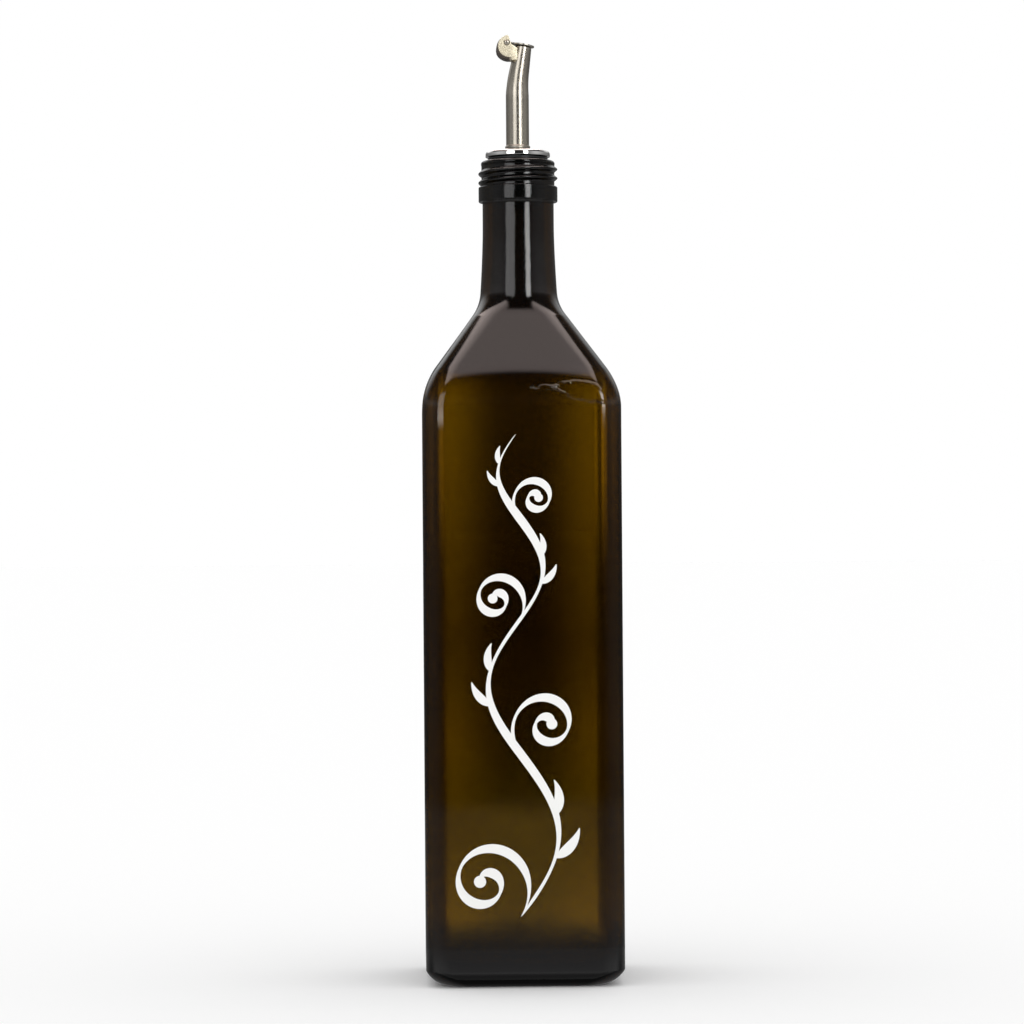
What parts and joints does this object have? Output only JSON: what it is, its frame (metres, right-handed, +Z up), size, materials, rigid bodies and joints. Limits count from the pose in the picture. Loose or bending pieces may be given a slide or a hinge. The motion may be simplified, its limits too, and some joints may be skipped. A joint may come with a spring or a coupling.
{
  "type": "olive oil bottle",
  "caption": "Square dark-glass oil bottle, filled to the foot of its shoulder, with a steel pouring spout that a small hinged flap shuts.",
  "frame": {"origin": "centre of the foot, on the surface that the bottle stands on", "axes": "+Z up along the bottle, +Y away from the front, +X to the right of the front, the side that the flap points to"},
  "size_m": [0.0756, 0.0756, 0.3647],
  "materials": {
    "dark_glass": "smooth dark olive-brown glass",
    "olive_oil": "clear golden-green oil",
    "black_plastic": "moulded black plastic",
    "polished_steel": "polished",
    "brushed_steel": "brushed along the tube",
    "white_print": "thin white print on the glass, in the visual model alone"
  },
  "bodies": {
    "bottle": {"bottle_glass": "dark_glass", "oil": "olive_oil", "stopper": "black_plastic", "pourer_cap": "polished_steel", "spout_tube": "brushed_steel", "weld_bead": "brushed_steel", "flap_bracket": "brushed_steel", "hinge_pin": "brushed_steel"},
    "flap": {"flap": "brushed_steel"}
  },
  "joints": [
    {"name": "flap_hinge", "type": "hinge", "parent": "bottle", "child": "flap", "pos_m": [-0.00403, 0, 0.36175], "axis": [0, -1, 0], "range_deg": [0, 80]}
  ]
}
